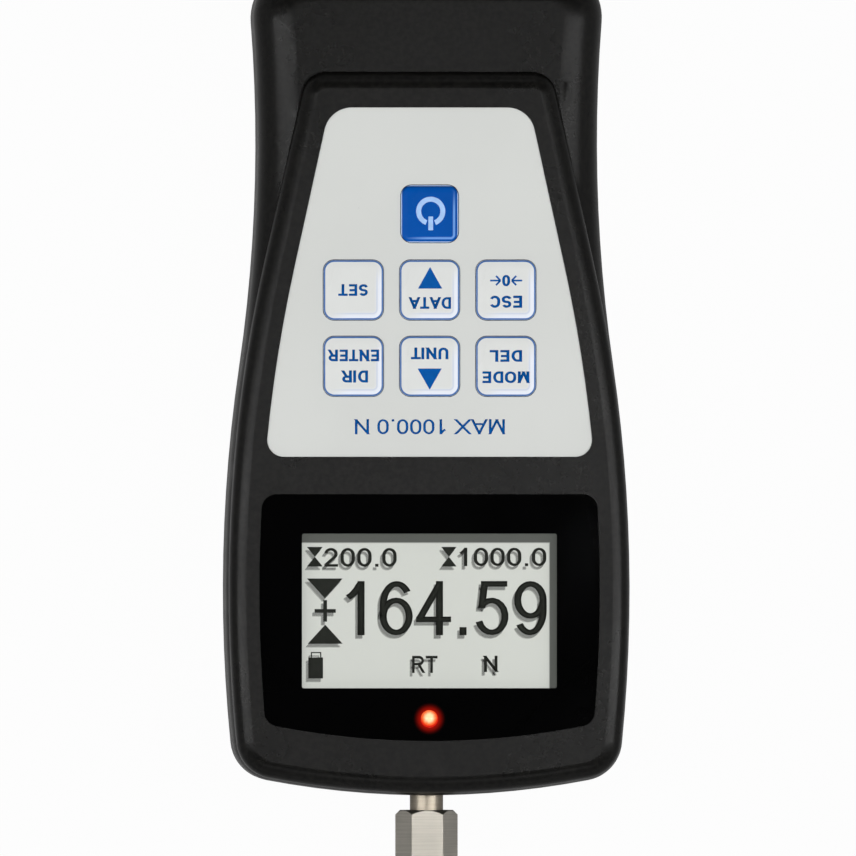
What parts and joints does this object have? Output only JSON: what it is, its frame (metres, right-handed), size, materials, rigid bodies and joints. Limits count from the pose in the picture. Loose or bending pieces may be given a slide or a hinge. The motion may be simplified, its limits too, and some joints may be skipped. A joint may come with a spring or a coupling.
{
  "type": "digital force gauge",
  "caption": "Hand-held digital force gauge with a waisted black case, a keypad, a numeric display, and a spring-mounted measuring axle with a hexagonal adapter.",
  "frame": {"origin": "centre of the rectangle of four stand threads, in the plane of the back", "axes": "+Z out of the display, +Y from the measuring axle towards the socket end, +X to the right of the keypad seen with the socket end up"},
  "size_m": [0.0972, 0.2276, 0.0421],
  "materials": {
    "case": "fine spark-eroded black moulding",
    "panel": "pale silver-grey printed polyester film, satin",
    "key": "embossed pale key with a blue printed border",
    "power_key": "embossed blue printed key",
    "window": "gloss acrylic window",
    "mask": "black print behind the window",
    "bezel": "pressed and plated sheet",
    "backlight": "milky light guide",
    "display": "grey-white reflective liquid-crystal panel",
    "foam": "closed-cell foam",
    "lamp": "diffused red lamp",
    "board": "green solder-masked laminate",
    "chips": "moulded black packages",
    "switches": "moulded black switch bases",
    "plunger": "moulded cream plunger",
    "plated_steel": "zinc-plated steel",
    "cell_alloy": "milled aluminium alloy",
    "foil": "foil gauge on film",
    "bronze": "sintered bronze",
    "axle_steel": "ground steel",
    "adapter_steel": "turned stainless hexagon bar",
    "battery_cans": "bright cell cans",
    "sleeve": "blue shrink sleeve",
    "socket_plastic": "moulded black jack",
    "socket_metal": "tinned shield",
    "screw_steel": "black-zinc screws"
  },
  "bodies": {
    "gauge": {"rear_housing": "case", "front_housing": "case", "keypad_overlay": "panel", "display_window": "window", "window_mask": "mask", "lcd_frame": "bezel", "lcd_backlight": "backlight", "lcd_glass": "display", "lcd_gasket": "foam", "status_led": "lamp", "main_board": "board", "board_chips": "chips", "buzzer": "chips", "key_switches": "switches", "chassis_frame": "plated_steel", "mounting_posts": "plated_steel", "load_cell": "cell_alloy", "strain_gauges": "foil", "cell_spacer": "plated_steel", "anchor_bolt": "plated_steel", "axle_bushing": "bronze", "battery_cells": "battery_cans", "battery_sleeve": "sleeve", "power_socket": "socket_plastic", "data_socket": "socket_metal", "housing_screws": "screw_steel", "board_screws": "screw_steel", "chassis_screws": "screw_steel"},
    "power_key": {"key_power": "power_key", "plunger_power": "plunger"},
    "set_key": {"key_set": "key", "plunger_set": "plunger"},
    "up_key": {"key_up": "key", "plunger_up": "plunger"},
    "escape_key": {"key_escape": "key", "plunger_escape": "plunger"},
    "enter_key": {"key_enter": "key", "plunger_enter": "plunger"},
    "down_key": {"key_down": "key", "plunger_down": "plunger"},
    "mode_key": {"key_mode": "key", "plunger_mode": "plunger"},
    "axle": {"measuring_axle": "axle_steel", "hex_adapter": "adapter_steel"}
  },
  "joints": [
    {"name": "power_press", "type": "slide", "parent": "gauge", "child": "power_key", "axis": [0, 0, -1], "range_m": [0, 0.0004], "stiffness_N_per_m": 400},
    {"name": "set_press", "type": "slide", "parent": "gauge", "child": "set_key", "axis": [0, 0, -1], "range_m": [0, 0.0004], "stiffness_N_per_m": 400},
    {"name": "up_press", "type": "slide", "parent": "gauge", "child": "up_key", "axis": [0, 0, -1], "range_m": [0, 0.0004], "stiffness_N_per_m": 400},
    {"name": "escape_press", "type": "slide", "parent": "gauge", "child": "escape_key", "axis": [0, 0, -1], "range_m": [0, 0.0004], "stiffness_N_per_m": 400},
    {"name": "enter_press", "type": "slide", "parent": "gauge", "child": "enter_key", "axis": [0, 0, -1], "range_m": [0, 0.0004], "stiffness_N_per_m": 400},
    {"name": "down_press", "type": "slide", "parent": "gauge", "child": "down_key", "axis": [0, 0, -1], "range_m": [0, 0.0004], "stiffness_N_per_m": 400},
    {"name": "mode_press", "type": "slide", "parent": "gauge", "child": "mode_key", "axis": [0, 0, -1], "range_m": [0, 0.0004], "stiffness_N_per_m": 400},
    {"name": "axle_load", "type": "slide", "parent": "gauge", "child": "axle", "axis": [0, 1, 0], "range_m": [-0.0005, 0.0005], "stiffness_N_per_m": 2000}
  ]
}
